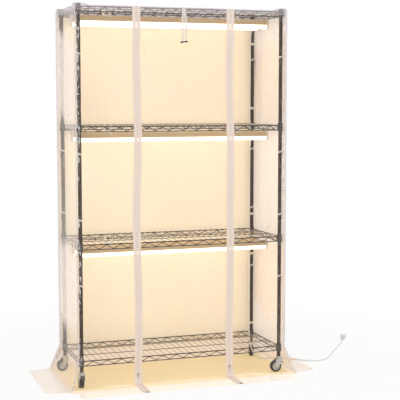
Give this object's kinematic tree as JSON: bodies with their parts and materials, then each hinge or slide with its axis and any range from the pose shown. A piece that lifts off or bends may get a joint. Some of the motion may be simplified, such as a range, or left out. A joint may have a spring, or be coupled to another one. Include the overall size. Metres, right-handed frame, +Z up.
{
  "type": "plant stand with grow lights",
  "caption": "Wire shelf rack on casters with warm lamp bars under its shelves, inside a clear film cover with a zip-up door and a hem that lies on the floor.",
  "frame": {"origin": "on the floor, under the middle of the rack and its cover", "axes": "+Z up, +X to the right seen from the front, -Y towards the front door"},
  "size_m": [1.6281, 0.682, 1.5751],
  "materials": {
    "pole_enamel": "black epoxy powder coat",
    "wire_enamel": "black epoxy powder coat on welded wire",
    "black_plastic": "moulded, matt",
    "zinc_steel": "zinc plated pressing",
    "wheel_plastic": "moulded nylon",
    "tyre_rubber": "satin tread",
    "lamp_enamel": "white enamelled extrusion",
    "diffuser": "frosted, lit from inside",
    "light_board": "white solder mask",
    "white_plastic": "moulded, satin",
    "lead_jacket": "soft white jacket",
    "plug_plastic": "moulded on",
    "blade_brass": "nickel washed",
    "clear_film": "clear soft film",
    "white_tape": "woven tape",
    "zip_metal": "plated die casting"
  },
  "bodies": {
    "stand": {"pole_front_left": "pole_enamel", "pole_front_right": "pole_enamel", "pole_rear_left": "pole_enamel", "pole_rear_right": "pole_enamel", "shelf_1": "wire_enamel", "shelf_2": "wire_enamel", "shelf_3": "wire_enamel", "shelf_4": "wire_enamel", "shelf_collars": "wire_enamel", "pole_caps": "black_plastic", "shelf_sleeves": "black_plastic", "tie_toggle": "black_plastic", "caster_stem_front_left": "zinc_steel", "caster_stem_front_right": "zinc_steel", "caster_stem_rear_left": "zinc_steel", "caster_stem_rear_right": "zinc_steel", "lamp_housings_2": "lamp_enamel", "lamp_housings_3": "lamp_enamel", "lamp_housings_4": "lamp_enamel", "lamp_diffusers_2": "diffuser", "lamp_diffusers_3": "diffuser", "lamp_diffusers_4": "diffuser", "lamp_boards": "light_board", "lamp_end_caps": "white_plastic", "lamp_clips": "white_plastic", "lamp_leads": "lead_jacket", "power_cord": "lead_jacket", "plug_body": "plug_plastic", "plug_blades": "blade_brass", "cover_top": "clear_film", "cover_back": "clear_film", "cover_left": "clear_film", "cover_right": "clear_film", "cover_front_left": "clear_film", "cover_front_right": "clear_film", "door_film": "clear_film", "zip_tapes_fixed": "white_tape", "zip_tapes_door": "white_tape", "roll_tie": "white_tape", "cover_ties": "white_tape"},
    "caster_front_left": {"caster_fork_front_left": "zinc_steel"},
    "wheel_front_left": {"caster_wheel_front_left": "wheel_plastic", "caster_tyre_front_left": "tyre_rubber"},
    "brake_front_left": {"caster_brake_front_left": "black_plastic"},
    "caster_front_right": {"caster_fork_front_right": "zinc_steel"},
    "wheel_front_right": {"caster_wheel_front_right": "wheel_plastic", "caster_tyre_front_right": "tyre_rubber"},
    "brake_front_right": {"caster_brake_front_right": "black_plastic"},
    "caster_rear_left": {"caster_fork_rear_left": "zinc_steel"},
    "wheel_rear_left": {"caster_wheel_rear_left": "wheel_plastic", "caster_tyre_rear_left": "tyre_rubber"},
    "caster_rear_right": {"caster_fork_rear_right": "zinc_steel"},
    "wheel_rear_right": {"caster_wheel_rear_right": "wheel_plastic", "caster_tyre_rear_right": "tyre_rubber"},
    "zip_slider_left": {"zip_slider_left": "zip_metal"},
    "zip_pull_left": {"zip_pull_left": "zip_metal"},
    "zip_slider_right": {"zip_slider_right": "zip_metal"},
    "zip_pull_right": {"zip_pull_right": "zip_metal"},
    "door_hem": {"hem_film": "clear_film", "hem_tapes": "white_tape"}
  },
  "joints": [
    {"name": "swivel_front_left", "type": "hinge", "parent": "stand", "child": "caster_front_left", "pos_m": [-0.441, -0.162, 0.058], "axis": [0, 0, 1], "continuous": true},
    {"name": "roll_front_left", "type": "hinge", "parent": "caster_front_left", "child": "wheel_front_left", "pos_m": [-0.441, -0.148, 0.025], "axis": [-1, 0, 0], "continuous": true},
    {"name": "brake_front_left", "type": "hinge", "parent": "caster_front_left", "child": "brake_front_left", "pos_m": [-0.441, -0.17, 0.045], "axis": [-1, 0, 0], "range_deg": [-18, 0]},
    {"name": "swivel_front_right", "type": "hinge", "parent": "stand", "child": "caster_front_right", "pos_m": [0.441, -0.162, 0.058], "axis": [0, 0, 1], "continuous": true},
    {"name": "roll_front_right", "type": "hinge", "parent": "caster_front_right", "child": "wheel_front_right", "pos_m": [0.427, -0.162, 0.025], "axis": [0, -1, 0], "continuous": true},
    {"name": "brake_front_right", "type": "hinge", "parent": "caster_front_right", "child": "brake_front_right", "pos_m": [0.449, -0.162, 0.045], "axis": [0, -1, 0], "range_deg": [-18, 0]},
    {"name": "swivel_rear_left", "type": "hinge", "parent": "stand", "child": "caster_rear_left", "pos_m": [-0.441, 0.162, 0.058], "axis": [0, 0, 1], "continuous": true},
    {"name": "roll_rear_left", "type": "hinge", "parent": "caster_rear_left", "child": "wheel_rear_left", "pos_m": [-0.45452, 0.15838, 0.025], "axis": [0.2588, -0.9659, 0], "continuous": true},
    {"name": "swivel_rear_right", "type": "hinge", "parent": "stand", "child": "caster_rear_right", "pos_m": [0.441, 0.162, 0.058], "axis": [0, 0, 1], "continuous": true},
    {"name": "roll_rear_right", "type": "hinge", "parent": "caster_rear_right", "child": "wheel_rear_right", "pos_m": [0.43621, 0.14884, 0.025], "axis": [0.9397, -0.342, 0], "continuous": true},
    {"name": "zip_left", "type": "slide", "parent": "stand", "child": "zip_slider_left", "axis": [0, 0, 1], "range_m": [0, 1.4], "deforming": ["door_film", "zip_tapes_door"]},
    {"name": "pull_left", "type": "hinge", "parent": "zip_slider_left", "child": "zip_pull_left", "pos_m": [-0.204, -0.18135, 0.046], "axis": [1, 0, 0], "range_deg": [-170, 0]},
    {"name": "zip_right", "type": "slide", "parent": "stand", "child": "zip_slider_right", "axis": [0, 0, 1], "range_m": [0, 1.4]},
    {"name": "pull_right", "type": "hinge", "parent": "zip_slider_right", "child": "zip_pull_right", "pos_m": [0.204, -0.18135, 0.046], "axis": [1, 0, 0], "range_deg": [-170, 0]},
    {"name": "hem_fold", "type": "hinge", "parent": "zip_slider_left", "child": "door_hem", "pos_m": [0, -0.181, 0.00025], "axis": [1, 0, 0], "range_deg": [0, 90]}
  ],
  "couplings": [
    {"joint": "zip_right", "follows": "zip_left", "ratio": 1},
    {"joint": "hem_fold", "follows": "zip_left", "rad_per_m": 1.1158}
  ]
}
